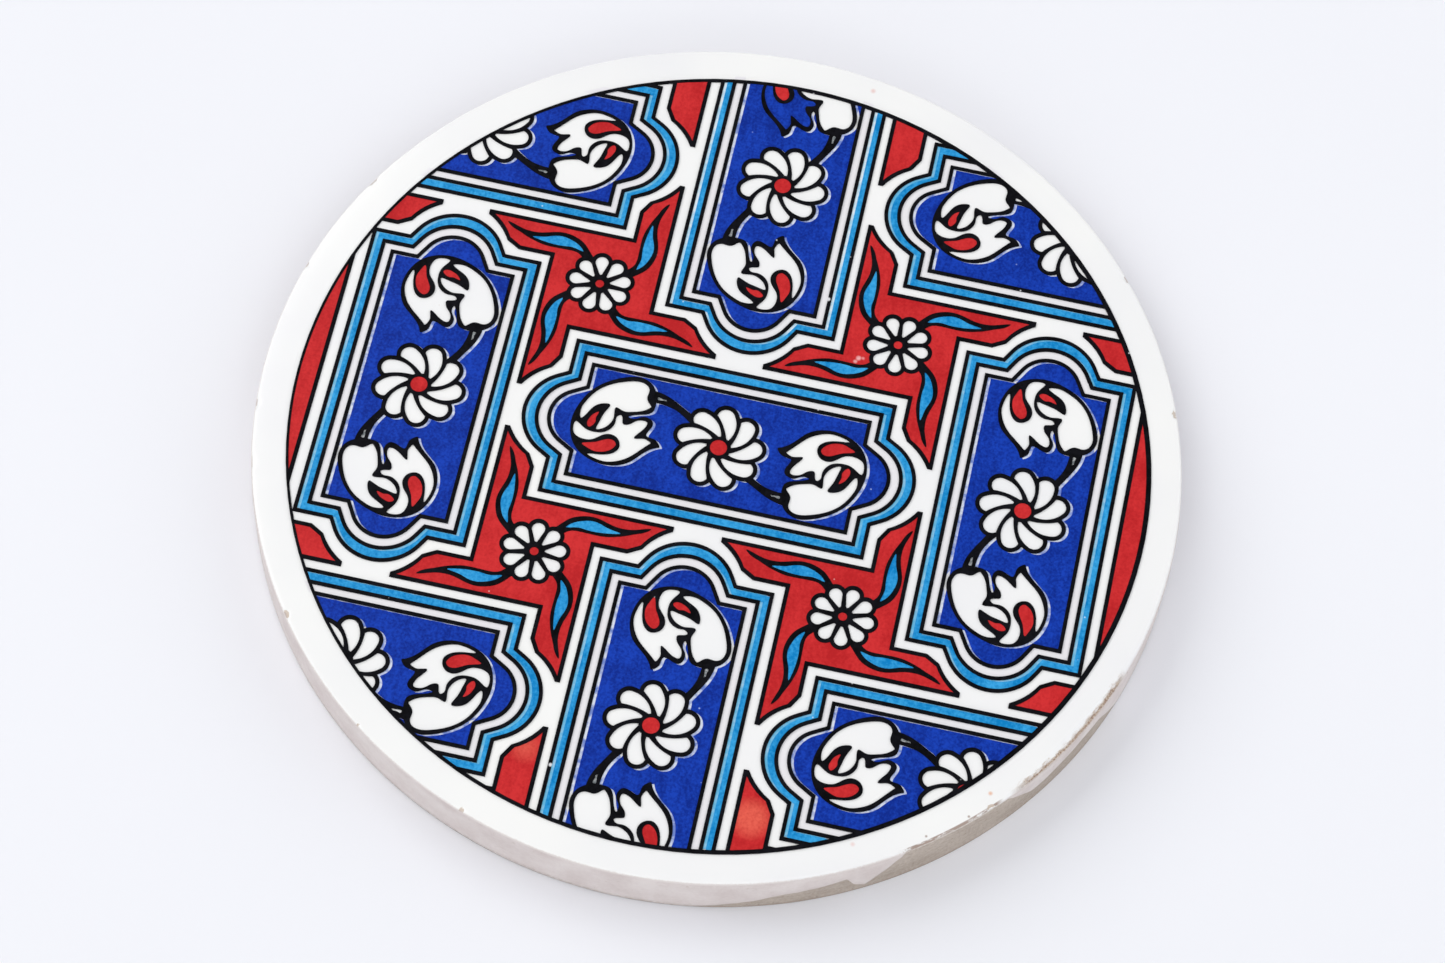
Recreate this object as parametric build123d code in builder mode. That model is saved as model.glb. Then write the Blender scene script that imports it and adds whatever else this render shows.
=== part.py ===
from build123d import *
from math import sqrt
import os

# A flat round glazed ceramic disc with an enamelled tile pattern on its top.
# Origin: centre of the underside. +X runs along the middle cartouche, +Z is up. Millimetres.

# The clay disc and its white glaze
disc_radius = 52.65
clay_radius = 52.50
clay_height = 6.65
glaze_height = 7.00
foot_round = 0.3
edge_round = 0.30
glaze_skirt = 6.4
wash_radius = 52.58

# Enamel layers: the black line colour stands a little higher than the flat colours. The white of a
# petal stops a little inside its drawn edge.
colour_thickness = 0.10
ink_thickness = 0.14
smallest_area = 0.02
line_width = 0.44
outline_width = 0.47
petal_inset = 0.04

# The pattern repeats on a square lattice of cartouches, upright and lying by turns
pitch = 35.0
half_pitch = pitch / 2
ring_centre = (0.23, -0.25)
ring_radius = 48.86
window_centre = (0.10, -0.25)
window_radius = 48.42

# The blues were laid a little off the black lines
colour_slip = (0.33, -0.10)

# Lobed panel of a cartouche: half length to the shoulder, half height, lobe centre and lobe radius
blue_line = (16.05, 7.10, 15.90, 3.65)
band_inner_line = (17.20, 8.35, 16.15, 4.80)
band_outer_line = (18.45, 9.72, 16.90, 5.55)

# Red pinwheel: half size of its square, inner edge of an arm, and the arc that hollows an arm's end
wheel_half = 6.35
arm_inner = 2.45
hollow_centre = (18.495, -0.60)
hollow_radius = 7.82
hollow_shoulder = (11.74, 3.30)
arm_reach = 14.75

# Edge of the tulip's black ground, anticlockwise from the stem side of its head
tulip_ground = [
    (6.6, 1.55), (7.6, 2.1), (8.8, 3.4), (9.4, 4.05), (10.8, 4.8), (12.5, 5.0), (14.1, 4.65), (15.6, 3.75),
    (16.5, 2.5), (16.95, 0.8), (16.95, -0.1), (16.5, -2.0), (15.5, -3.9), (13.9, -5.4), (11.8, -6.45),
    (10.6, -6.7), (9.1, -6.2), (8.4, -5.3), (8.1, -4.3), (8.05, -3.4), (8.2, -2.75), (9.2, -2.15),
    (10.4, -1.75), (10.75, -1.5), (10.3, -1.35), (9.1, -1.85), (8.4, -1.8), (7.9, -1.4), (7.9, -0.8),
    (8.25, 0.0), (8.3, 0.35), (7.5, 0.6), (6.8, 1.0),
]
# White of the tulip's open head
tulip_head = [
    (7.6, 1.25), (8.6, 2.4), (9.9, 3.75), (11.4, 4.5), (13.1, 4.55), (14.3, 4.1), (13.2, 3.9), (12.4, 3.75),
    (11.5, 3.35), (10.95, 2.6), (11.1, 1.8), (11.6, 1.3), (12.4, 1.15), (13.2, 1.5), (14.0, 2.15),
    (15.0, 2.4), (16.25, 1.95), (16.55, 1.2), (16.42, 0.35), (15.8, 0.65), (15.0, 1.1), (14.0, 1.2),
    (13.0, 0.95), (12.35, 0.35), (12.05, -0.5), (11.95, -1.35), (11.65, -1.55), (11.35, -1.1),
    (11.15, -0.5), (10.5, -0.6), (9.9, -1.1), (9.2, -1.42), (8.55, -1.3), (8.7, -0.4), (9.3, 0.45),
    (9.55, 0.95), (8.8, 0.85), (7.9, 0.95),
]
# White of the tulip's bulb, which runs on into its inner petal
tulip_bulb = [
    (8.55, -3.2), (9.3, -2.6), (10.6, -2.15), (11.6, -2.1), (12.4, -2.3), (12.45, -1.8), (12.35, -1.0),
    (12.8, 0.15), (13.4, 0.68), (13.95, 0.85), (13.9, 0.1), (13.65, -1.0), (13.3, -1.9), (13.1, -2.5),
    (13.9, -2.5), (15.0, -1.65), (15.5, -0.7), (15.95, -0.15), (16.2, -0.9), (15.95, -2.2), (15.1, -3.75),
    (13.5, -5.15), (11.5, -6.0), (10.4, -6.18), (9.4, -5.8), (9.15, -5.3), (9.2, -4.4), (8.85, -3.75),
]
tulip_red_upper = [
    (11.4, 2.45), (12.0, 3.2), (12.8, 3.55), (13.7, 3.62), (14.5, 3.35), (15.15, 2.97), (14.5, 2.7),
    (13.7, 2.45), (12.9, 2.0), (12.1, 1.75), (11.55, 1.95),
]
tulip_red_lower = [
    (14.45, 0.45), (14.95, 0.72), (15.15, 0.3), (15.0, -0.4), (14.6, -1.05), (14.15, -1.35), (14.3, -0.6),
]
# The stem leaves the flower and widens into the tulip
stem_upper = [(3.4, -2.0), (4.6, -2.9), (5.8, -3.55), (7.2, -3.9), (9.0, -3.9)]
stem_lower = [(9.0, -5.35), (7.1, -5.1), (5.6, -4.4), (4.2, -3.6), (2.9, -3.0)]
stem_slit = [(6.9, -4.34), (7.4, -4.38), (8.05, -4.48), (8.0, -4.70), (7.4, -4.62), (6.95, -4.50)]

# Turning flower of nine petals: the points that its first petal's arcs run through
flower_petals = 9
petal_root = (0.60, 1.20)
petal_root_outer = (0.90, 1.05)
petal_belly = (1.45, 3.00)
petal_shoulder = (1.00, 4.40)
petal_crown = (0.0, 5.0)
petal_tip = (-1.00, 4.00)
petal_hollow = (0.02, 2.60)
flower_heart = 0.97
flower_hub = 1.30

# Rosette in the middle of a pinwheel
rosette_petals = 9
rosette_root = (1.35, 0.22)
rosette_crown = (2.82, 0.79)
rosette_heart = 0.50
rosette_hub = 1.60

# Pattern cut off by the ring: the straight side of the red segments at east and west
segment_side = 3 * half_pitch - wheel_half

# Leaf in the right arm of a pinwheel, from the rosette outwards
leaf_ground = [
    (1.45, 3.2), (1.95, 3.75), (3.0, 4.85), (4.0, 5.35), (5.3, 5.6), (6.5, 5.45), (7.5, 5.15),
    (8.5, 4.95), (9.5, 4.95),
    (10.5, 5.15), (12.1, 5.55), (11.6, 5.1), (10.5, 4.6), (9.5, 4.15), (8.5, 3.8), (7.5, 3.55), (6.0, 3.48),
    (4.5, 3.52), (3.4, 3.4), (2.75, 2.95),
    (2.15, 2.55),
]
leaf_blade = [
    (2.8, 3.8), (3.5, 4.45), (4.5, 4.9), (5.5, 5.1), (6.5, 4.95), (7.5, 4.6), (8.9, 4.3), (7.7, 4.0),
    (6.5, 3.86), (5.0, 3.88), (3.7, 3.88),
]

# Small chips along the glazed edge: angle in degrees, distance out, depth
edge_chips = [
    (-173, 52.6, 0.45), (-165, 52.6, 0.40), (-144.5, 52.6, 0.50), (-110, 52.6, 0.40),
    (18, 52.6, 0.45), (38, 52.6, 0.35), (152, 52.6, 0.45), (166.6, 52.6, 0.40),
]
# The thin wash leaves the clay bare between these angles on the side, and in a low wedge beside them
bare_from, bare_to = -58, -42
bare_wedge_angle = -70
bare_wedge_half_width = 7.3
bare_wedge_top = 3.6

# Cartouches: centre and turn. Four of them were laid slightly off the lattice.
places = {
    "centre": (0, -0.08, 0), "east": (pitch, 0, 90), "west": (0.22 - pitch, 0, 270),
    "north": (0.12, pitch, 270), "south": (-0.06, -pitch, 90),
    "northeast": (pitch, pitch, 180), "northwest": (-pitch, pitch, 180),
    "southeast": (pitch, -pitch, 0), "southwest": (-pitch, -pitch, 0),
}
# Pinwheels between them: centre, hand, and the turn and slip of the flower in it
wheels = {
    "northeast": (half_pitch, half_pitch, 1, -17, (-0.23, -0.02)),
    "northwest": (-half_pitch, half_pitch, -1, 7, (-0.23, -0.10)),
    "southeast": (half_pitch, -half_pitch, -1, -13, (0.31, 0.09)),
    "southwest": (-half_pitch, -half_pitch, 1, 3, (0.20, 0.10)),
}
outer_wheels = [
    (3 * half_pitch, half_pitch, -1), (3 * half_pitch, -half_pitch, 1),
    (-3 * half_pitch, half_pitch, 1), (-3 * half_pitch, -half_pitch, -1),
    (half_pitch, 3 * half_pitch, -1), (-half_pitch, 3 * half_pitch, 1),
    (half_pitch, -3 * half_pitch, 1), (-half_pitch, -3 * half_pitch, -1),
]

# One tulip's head was filled with blue by mistake: the outer one of this cartouche
blue_headed = "north"


# Area inside a smooth closed curve through the points
def smooth_area(points):
    with BuildSketch() as area:
        with BuildLine():
            Spline(*points, periodic=True)
        make_face()
    return area.sketch


# Area of a lobed panel, grown outwards by a distance
def panel_area(line, grow):
    shoulder, half_height, lobe_centre, lobe_radius = line
    right = shoulder + grow
    top = half_height + grow
    radius = lobe_radius + grow
    touch_x = lobe_centre + radius / 2
    touch_y = radius * sqrt(3) / 2
    shoulder_y = touch_y + (touch_x - right) / sqrt(3)
    with BuildSketch() as area:
        with BuildLine():
            for side in (1, -1):
                lobe_end = (side * (lobe_centre + radius), 0)
                Line((0, side * top), (side * right, side * top))
                Line((side * right, side * top), (side * right, side * shoulder_y))
                Line((side * right, side * shoulder_y), (side * touch_x, side * touch_y))
                ThreePointArc((side * touch_x, side * touch_y), lobe_end, (side * touch_x, -side * touch_y))
                Line((side * touch_x, -side * touch_y), (side * right, -side * shoulder_y))
                Line((side * right, -side * shoulder_y), (side * right, -side * top))
                Line((side * right, -side * top), (0, -side * top))
        make_face()
    return area.sketch


# Area between two grown copies of a panel's line
def panel_line(line):
    with BuildSketch() as area:
        add(panel_area(line, line_width / 2))
        add(panel_area(line, -line_width / 2), mode=Mode.SUBTRACT)
    return area.sketch


# Points of the other hand of pinwheel
def handed(points, hand):
    return [(hand * x, y) for x, y in points]


# Area of a pinwheel, grown outwards by a distance: hand 1 turns anticlockwise and -1 clockwise
def wheel_area(hand, grow):
    edge = wheel_half + grow
    inner = arm_inner - grow
    radius = hollow_radius - grow
    centre_x, centre_y = hollow_centre
    shoulder_x, shoulder_y = hollow_shoulder
    bend_x = shoulder_x + grow / 2
    bend_y = shoulder_y - grow * sqrt(3) / 2
    corner_x = bend_x - (bend_y - inner) * sqrt(3)
    tip_x = centre_x - sqrt(radius**2 - (edge - centre_y) ** 2)
    reach = min(tip_x, arm_reach)
    reach_y = centre_y + sqrt(radius**2 - (centre_x - reach) ** 2)
    middle_y = (bend_y + reach_y) / 2
    middle_x = centre_x - sqrt(radius**2 - (middle_y - centre_y) ** 2)
    hollow = handed([(bend_x, bend_y), (middle_x, middle_y), (reach, reach_y)], hand)
    sides = handed([(reach, edge), (0, edge), (0, inner), (corner_x, inner), (bend_x, bend_y)], hand)
    with BuildSketch() as arm:
        with BuildLine():
            ThreePointArc(*hollow)
            if reach < tip_x:
                Line(hollow[-1], sides[0])
            Polyline(*sides)
        make_face()
    with BuildSketch() as area:
        Rectangle(2 * edge, 2 * edge)
        add(turned(arm.sketch, 4))
    return area.sketch


# One petal of the turning flower, grown outwards by a distance
def petal_area(grow):
    with BuildSketch() as area:
        with BuildLine():
            ThreePointArc(petal_root_outer, petal_belly, petal_shoulder)
            ThreePointArc(petal_shoulder, petal_crown, petal_tip)
            ThreePointArc(petal_tip, petal_hollow, petal_root)
            Line(petal_root, petal_root_outer)
        make_face()
        if grow:
            offset(amount=grow)
    return area.sketch


# One petal of the rosette: two circles drawn together by their tangents, grown by a distance
def rosette_petal_area(grow):
    with BuildSketch() as area:
        for distance, radius in (rosette_root, rosette_crown):
            with Locations((0, distance)):
                Circle(radius + grow)
        make_hull()
    return area.sketch


# An area copied round the origin
def turned(area, count):
    with BuildSketch() as ring:
        for step in range(count):
            add(area, rotation=360 * step / count)
    return ring.sketch


# The part of an area that is still covered after the colour slips off its lines
def slipped(area, angle):
    slip = Vector(*colour_slip).rotate(Axis.Z, -angle)
    with BuildSketch() as covered:
        add(area)
        add(area.moved(Location((slip.X, slip.Y))), mode=Mode.INTERSECT)
    return covered.sketch


# Motif of a cartouche, on its own axes
tulip_white = [smooth_area(tulip_head), smooth_area(tulip_bulb), smooth_area(stem_slit)]
tulip_red = [smooth_area(tulip_red_upper), smooth_area(tulip_red_lower)]

with BuildSketch() as stem:
    with BuildLine():
        Spline(*stem_upper)
        Line(stem_upper[-1], stem_lower[0])
        Spline(*stem_lower)
        Line(stem_lower[-1], stem_upper[0])
    make_face()

with BuildSketch() as motif_ground:
    add(turned(petal_area(line_width), flower_petals))
    Circle(flower_hub + line_width)
    for angle in (0, 180):
        add(smooth_area(tulip_ground), rotation=angle)
        add(stem.sketch, rotation=angle)

with BuildSketch() as motif_red:
    Circle(flower_heart)
    for angle in (0, 180):
        for cell in tulip_red:
            add(cell, rotation=angle)

with BuildSketch() as cartouche_ink:
    for line in (blue_line, band_inner_line, band_outer_line):
        add(panel_line(line))
    add(motif_ground.sketch)
    add(turned(petal_area(-petal_inset), flower_petals), mode=Mode.SUBTRACT)
    add(motif_red.sketch, mode=Mode.SUBTRACT)
    for angle in (0, 180):
        for cell in tulip_white:
            add(cell, rotation=angle, mode=Mode.SUBTRACT)

with BuildSketch() as turquoise_band:
    add(panel_area(band_outer_line, -line_width / 2))
    add(panel_area(band_inner_line, line_width / 2), mode=Mode.SUBTRACT)

with BuildSketch() as blue_cell:
    add(panel_area(blue_line, -line_width / 2))
    add(motif_ground.sketch, mode=Mode.SUBTRACT)


# Motif of a pinwheel: its leaves, its black and its red, on its own axes. The flower and its leaves
# are turned and slipped inside the pinwheel's outline.
def wheel_motif(hand, turn, slip):
    with BuildSketch() as leaves:
        with Locations(slip):
            add(turned(smooth_area(handed(leaf_blade, hand)), 4))
    with BuildSketch() as petals:
        with Locations(slip):
            add(turned(rosette_petal_area(-petal_inset), rosette_petals), rotation=turn)
            Circle(rosette_heart)
    with BuildSketch() as ground:
        with Locations(slip):
            add(turned(rosette_petal_area(line_width), rosette_petals), rotation=turn)
            Circle(rosette_hub)
            add(turned(smooth_area(handed(leaf_ground, hand)), 4))
        add(wheel_area(hand, -outline_width / 2), mode=Mode.INTERSECT)
    with BuildSketch() as ink:
        add(wheel_area(hand, outline_width / 2))
        add(wheel_area(hand, -outline_width / 2), mode=Mode.SUBTRACT)
        add(ground.sketch)
        add(petals.sketch, mode=Mode.SUBTRACT)
        add(leaves.sketch, mode=Mode.SUBTRACT)
    with BuildSketch() as red:
        add(wheel_area(hand, -outline_width / 2))
        add(ground.sketch, mode=Mode.SUBTRACT)
        with Locations(slip):
            Circle(rosette_heart)
    return leaves.sketch, ink.sketch, red.sketch


# A layer of enamel on the glaze: an area set down at a place, turned, and cut by the round window.
# Crumbs that the window leaves are too small to have been printed.
def enamel(name, area, x, y, angle, thickness):
    plane = Plane(origin=(x, y, glaze_height)).rotated((0, 0, angle))
    window = Vector(window_centre[0] - x, window_centre[1] - y).rotate(Axis.Z, -angle)
    with BuildPart() as layer:
        with BuildSketch(plane) as flat:
            add(area)
            with Locations((window.X, window.Y)):
                Circle(window_radius, mode=Mode.INTERSECT)
            crumbs = flat.faces().filter_by(lambda face: face.area < smallest_area)
            if crumbs:
                add(crumbs, mode=Mode.SUBTRACT)
        extrude(amount=thickness)
    layer.part.label = name
    export_step(layer.part, f"parts/{name}.step")


os.makedirs("parts", exist_ok=True)

# Clay disc with a rounded foot
with BuildPart() as clay_body:
    with BuildSketch():
        Circle(clay_radius)
    extrude(amount=clay_height)
    fillet(clay_body.edges().group_by(Axis.Z)[0], foot_round)
    fillet(clay_body.edges().group_by(Axis.Z)[-1], edge_round - disc_radius + clay_radius)
clay_body.part.label = "clay_body"
export_step(clay_body.part, "parts/clay_body.step")

# White glaze: a cap that rolls over the edge and stops in a short skirt
with BuildPart() as white_glaze:
    with BuildSketch(Plane.XY.offset(glaze_skirt)):
        Circle(disc_radius)
    extrude(amount=glaze_height - glaze_skirt)
    fillet(white_glaze.edges().group_by(Axis.Z)[-1], edge_round)
    add(clay_body.part, mode=Mode.SUBTRACT)
    for angle, distance, depth in edge_chips:
        with PolarLocations(distance, 1, start_angle=angle):
            with Locations((0, 0, glaze_height)):
                Sphere(depth, mode=Mode.SUBTRACT)
white_glaze.part.label = "white_glaze"
export_step(white_glaze.part, "parts/white_glaze.step")

# Thin wash down the side, open where the clay is bare
with BuildPart() as side_glaze_wash:
    start = Vector(1, 0, 0).rotate(Axis.Z, bare_to)
    with BuildSketch(Plane(origin=(0, 0, 0), x_dir=start, z_dir=start.cross(Vector(0, 0, 1)))):
        with Locations(((clay_radius + wash_radius) / 2, (foot_round + glaze_skirt) / 2)):
            Rectangle(wash_radius - clay_radius, glaze_skirt - foot_round)
    revolve(axis=Axis.Z, revolution_arc=360 - (bare_to - bare_from))
    outward = Vector(1, 0, 0).rotate(Axis.Z, bare_wedge_angle)
    with BuildSketch(Plane(origin=(0, 0, 0), x_dir=Vector(0, 0, 1).cross(outward), z_dir=outward)):
        with BuildLine():
            Polyline((-bare_wedge_half_width, 0), (bare_wedge_half_width, 0), (0, bare_wedge_top), close=True)
        make_face()
    extrude(amount=2 * disc_radius, mode=Mode.SUBTRACT)
side_glaze_wash.part.label = "side_glaze_wash"
export_step(side_glaze_wash.part, "parts/side_glaze_wash.step")

# Black ring round the pattern, a little off centre
with BuildPart() as border_ring:
    with BuildSketch(Plane.XY.offset(glaze_height)):
        with Locations(ring_centre):
            Circle(ring_radius)
        with Locations(window_centre):
            Circle(window_radius, mode=Mode.SUBTRACT)
    extrude(amount=ink_thickness)
border_ring.part.label = "border_ring"
export_step(border_ring.part, "parts/border_ring.step")

# Nine cartouches
for name, (x, y, angle) in places.items():
    with BuildSketch() as blue_area:
        add(slipped(blue_cell.sketch, angle))
        if name == blue_headed:
            add(tulip_white[0], rotation=180)
    enamel(f"{name}_blue_field", blue_area.sketch, x, y, angle, colour_thickness)
    turquoise_area = slipped(turquoise_band.sketch, angle)
    enamel(f"{name}_turquoise_band", turquoise_area, x, y, angle, colour_thickness)
    enamel(f"{name}_ink", cartouche_ink.sketch, x, y, angle, ink_thickness)
    enamel(f"{name}_red_cells", motif_red.sketch, x, y, angle, colour_thickness)

# Four whole pinwheels
for name, (x, y, hand, turn, slip) in wheels.items():
    leaves, ink, red = wheel_motif(hand, turn, slip)
    enamel(f"{name}_wheel_leaves", leaves, x, y, 0, colour_thickness)
    enamel(f"{name}_wheel_ink", ink, x, y, 0, ink_thickness)
    enamel(f"{name}_wheel_red_field", red, x, y, 0, colour_thickness)

# What the ring leaves of the next pinwheels: plain arms, and a red segment at east and west
with BuildSketch() as segments:
    with Locations((2 * segment_side, 0), (-2 * segment_side, 0)):
        Rectangle(2 * segment_side - outline_width, pitch)

with BuildSketch() as edge_red:
    for x, y, hand in outer_wheels:
        add(wheel_area(hand, -outline_width / 2).moved(Location((x, y))))
    add(segments.sketch)

with BuildSketch() as edge_ink:
    for x, y, hand in outer_wheels:
        add(wheel_area(hand, outline_width / 2).moved(Location((x, y))))
    with Locations((segment_side, 0), (-segment_side, 0)):
        Rectangle(outline_width, pitch)
    add(edge_red.sketch, mode=Mode.SUBTRACT)

enamel("edge_red_fields", edge_red.sketch, 0, 0, 0, colour_thickness)
enamel("edge_ink", edge_ink.sketch, 0, 0, 0, ink_thickness)
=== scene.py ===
import math

import bmesh
import bpy
import numpy as np
from mathutils import Matrix, Vector


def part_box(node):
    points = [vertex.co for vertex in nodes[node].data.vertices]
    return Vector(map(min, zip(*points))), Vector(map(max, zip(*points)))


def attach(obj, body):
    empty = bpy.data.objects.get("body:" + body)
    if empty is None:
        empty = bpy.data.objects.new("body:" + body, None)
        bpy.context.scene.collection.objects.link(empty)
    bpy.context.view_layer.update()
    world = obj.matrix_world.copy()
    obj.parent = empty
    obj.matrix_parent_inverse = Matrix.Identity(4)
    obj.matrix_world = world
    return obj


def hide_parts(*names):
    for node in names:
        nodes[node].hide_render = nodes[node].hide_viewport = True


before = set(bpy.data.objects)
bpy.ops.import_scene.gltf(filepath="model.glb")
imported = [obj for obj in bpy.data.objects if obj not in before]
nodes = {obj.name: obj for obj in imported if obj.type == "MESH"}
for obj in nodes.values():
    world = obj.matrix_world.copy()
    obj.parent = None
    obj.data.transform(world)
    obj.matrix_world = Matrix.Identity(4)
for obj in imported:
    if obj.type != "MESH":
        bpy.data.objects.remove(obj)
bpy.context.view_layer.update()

mm = 0.001
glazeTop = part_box("centre_blue_field")[0].z  # the enamels stand on this height
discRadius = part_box("white_glaze")[1].x
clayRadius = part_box("clay_body")[1].x
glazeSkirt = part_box("white_glaze")[0].z
pitch = 35.0 * mm
placeNames = ["centre", "east", "west", "north", "south",
              "northeast", "northwest", "southeast", "southwest"]
print("stage: frame loaded, disc radius", round(discRadius, 5), "glaze top", round(glazeTop, 5))


# Shader maths as plain expressions: each operator adds one Math node
class Val:
    def __init__(self, tree, socket):
        self.tree = tree
        self.socket = socket

    def math(self, operation, other=None, swapped=False, clamp=False):
        n = self.tree.nodes.new("ShaderNodeMath")
        n.operation = operation
        n.use_clamp = clamp
        items = [self] if other is None else ([other, self] if swapped else [self, other])
        for i, item in enumerate(items):
            if isinstance(item, Val):
                self.tree.links.new(item.socket, n.inputs[i])
            else:
                n.inputs[i].default_value = item
        return Val(self.tree, n.outputs[0])

    def __add__(self, other):
        return self.math("ADD", other)

    def __radd__(self, other):
        return self.math("ADD", other, True)

    def __sub__(self, other):
        return self.math("SUBTRACT", other)

    def __rsub__(self, other):
        return self.math("SUBTRACT", other, True)

    def __mul__(self, other):
        return self.math("MULTIPLY", other)

    def __rmul__(self, other):
        return self.math("MULTIPLY", other, True)

    def __truediv__(self, other):
        return self.math("DIVIDE", other)

    def __pow__(self, other):
        return self.math("POWER", other)

    def clamped(self):
        return self.math("ADD", 0.0, clamp=True)

    def above(self, low, high):
        # 0 below low, 1 above high, straight between
        return ((self - low) * (1.0 / (high - low))).clamped()

    def below(self, low, high):
        return 1 - self.above(low, high)


# One finish: a material with its Principled shader and a short way to add any other node
class Finish:
    def __init__(self, name):
        self.material = bpy.data.materials.new(name)
        self.material.use_nodes = True
        self.tree = self.material.node_tree
        self.shader = self.tree.nodes["Principled BSDF"]
        self.place = self.add("ShaderNodeTexCoord")["Object"]

    def add(self, kind, settings=None, values=None):
        n = self.tree.nodes.new(kind)
        for key, value in (settings or {}).items():
            if key == "stops":
                ramp = n.color_ramp
                while len(ramp.elements) < len(value):
                    ramp.elements.new(0.5)
                for element, (position, colour) in zip(ramp.elements, value):
                    element.position = position
                    element.color = (*colour, 1)
            else:
                setattr(n, key, value)
        for key, value in (values or {}).items():
            if isinstance(value, Val):
                self.tree.links.new(value.socket, n.inputs[key])
            else:
                n.inputs[key].default_value = value
        outputs = {}
        for output in n.outputs:
            outputs.setdefault(output.name, Val(self.tree, output))
        return outputs

    def noise(self, scale, detail=3.0, roughness=0.55, where=None, distortion=0.0):
        # scale is in waves per millimetre
        found = self.add("ShaderNodeTexNoise", {"noise_dimensions": "3D"}, {
            "Vector": where or self.place, "Scale": scale / mm, "Detail": detail,
            "Roughness": roughness, "Distortion": distortion})
        return found["Fac"]

    def specks(self, spacing, seed, size, channel, rare):
        # 1 in small spots round random points about one spacing apart, for the share of them above rare;
        # size is the radius where a spot is full and the one where it ends, in mm
        moved = self.add("ShaderNodeVectorMath", {"operation": "ADD"}, {
            0: self.place, 1: (seed, seed * 0.7, 0)})
        found = self.add("ShaderNodeTexVoronoi", {"voronoi_dimensions": "3D", "feature": "F1"}, {
            "Vector": moved["Vector"], "Scale": 1 / (spacing * mm)})
        chance = self.add("ShaderNodeSeparateColor", None, {0: found["Color"]})[channel]
        return (found["Distance"] * spacing).below(*size) * chance.above(rare, rare + 0.02)

    def stretched(self, scale, turn=0.0):
        # the object's own coordinates, turned by an angle in degrees and scaled along each axis
        return self.add("ShaderNodeMapping", None, {
            "Vector": self.place, "Rotation": (0, 0, math.radians(turn)), "Scale": scale})["Vector"]

    def mix(self, factor, first, second):
        n = self.tree.nodes.new("ShaderNodeMix")
        n.data_type = "RGBA"
        for socket, value in ((n.inputs[0], factor), (n.inputs[6], first), (n.inputs[7], second)):
            if isinstance(value, Val):
                self.tree.links.new(value.socket, socket)
            elif isinstance(value, tuple):
                socket.default_value = (*value, 1)
            else:
                socket.default_value = value
        return Val(self.tree, n.outputs[2])

    def axes(self):
        # x, y and z in millimetres
        parts = self.add("ShaderNodeSeparateXYZ", None, {0: self.place})
        return parts["X"] * (1 / mm), parts["Y"] * (1 / mm), parts["Z"] * (1 / mm)

    def spot(self, x, y, radius, soft):
        # 1 inside a round spot on the top, fading over the soft distance; x, y in millimetres
        px, py = self.axes()[:2]
        away = ((px - x) * (px - x) + (py - y) * (py - y)) ** 0.5
        return away.below(radius - soft, radius + soft)

    def attribute(self, name):
        return self.add("ShaderNodeAttribute", {"attribute_name": name})["Fac"]

    def link(self, socketName, value):
        self.tree.links.new(value.socket, self.shader.inputs[socketName])

    def bump(self, height, strength, distance):
        found = self.add("ShaderNodeBump", None, {
            "Height": height, "Strength": strength, "Distance": distance * mm})
        self.link("Normal", found["Normal"])

    def fixed(self, **values):
        for key, value in values.items():
            self.shader.inputs[key.replace("_", " ")].default_value = value


def linear(r, g, b):
    # a display colour out of 255 as the linear colour that shaders use
    def one(v):
        v = v / 255
        return v / 12.92 if v <= 0.04045 else ((v + 0.055) / 1.055) ** 2.4
    return (one(r), one(g), one(b))


def wave(angles, turns, sizes, seed):
    # sum of sine waves round the disc: a few whole turns each, with fixed random phases, about -1 to 1
    rng = np.random.default_rng(seed)
    total = np.zeros_like(angles)
    for turn, size in zip(turns, sizes):
        total = total + size * np.sin(turn * angles + rng.uniform(0, 2 * np.pi))
    return total / sum(sizes)


def wornBack(degrees):
    # how far the top's edge lies inside the widest circle, in mm: straight between the listed angles
    signed = (degrees + 180) % 360 - 180
    return np.interp(signed, glaze["insetAngles"], glaze["insets"])


def newPiece(name, verts, faces, material, slotName, *replaced):
    mesh = bpy.data.meshes.new(name)
    mesh.from_pydata(verts.tolist(), [], faces)
    mesh.polygons.foreach_set("use_smooth", np.ones(len(mesh.polygons), bool))
    mesh.update()
    piece = bpy.data.objects.new(name, mesh)
    bpy.context.scene.collection.objects.link(piece)
    mesh.materials.append(material)
    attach(piece, "root")
    if replaced:
        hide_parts(*replaced)
    return piece


def turnedShell(radii, heights):
    # closed surface: row i is the profile at angle i, and its first and last points lie on the axis
    count, steps = radii.shape
    turn = np.arange(count) / count * 2 * np.pi
    r = radii[:, 1:-1]
    rows = np.stack([r * np.cos(turn)[:, None], r * np.sin(turn)[:, None], heights[:, 1:-1]], 2)
    verts = np.concatenate([rows.reshape(-1, 3), [[0, 0, heights[0, 0]]], [[0, 0, heights[0, -1]]]])
    wide = steps - 2
    i, j = np.meshgrid(np.arange(count), np.arange(wide - 1), indexing="ij")
    nextRow = (i + 1) % count
    quads = np.stack([i * wide + j, i * wide + j + 1, nextRow * wide + j + 1, nextRow * wide + j], 2)
    k = np.arange(count)
    after = (k + 1) % count
    topFan = np.stack([np.full(count, count * wide), k * wide, after * wide], 1)
    baseFan = np.stack([np.full(count, count * wide + 1), (after + 1) * wide - 1, (k + 1) * wide - 1], 1)
    return verts, quads.reshape(-1, 4).tolist() + topFan.tolist() + baseFan.tolist()


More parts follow.
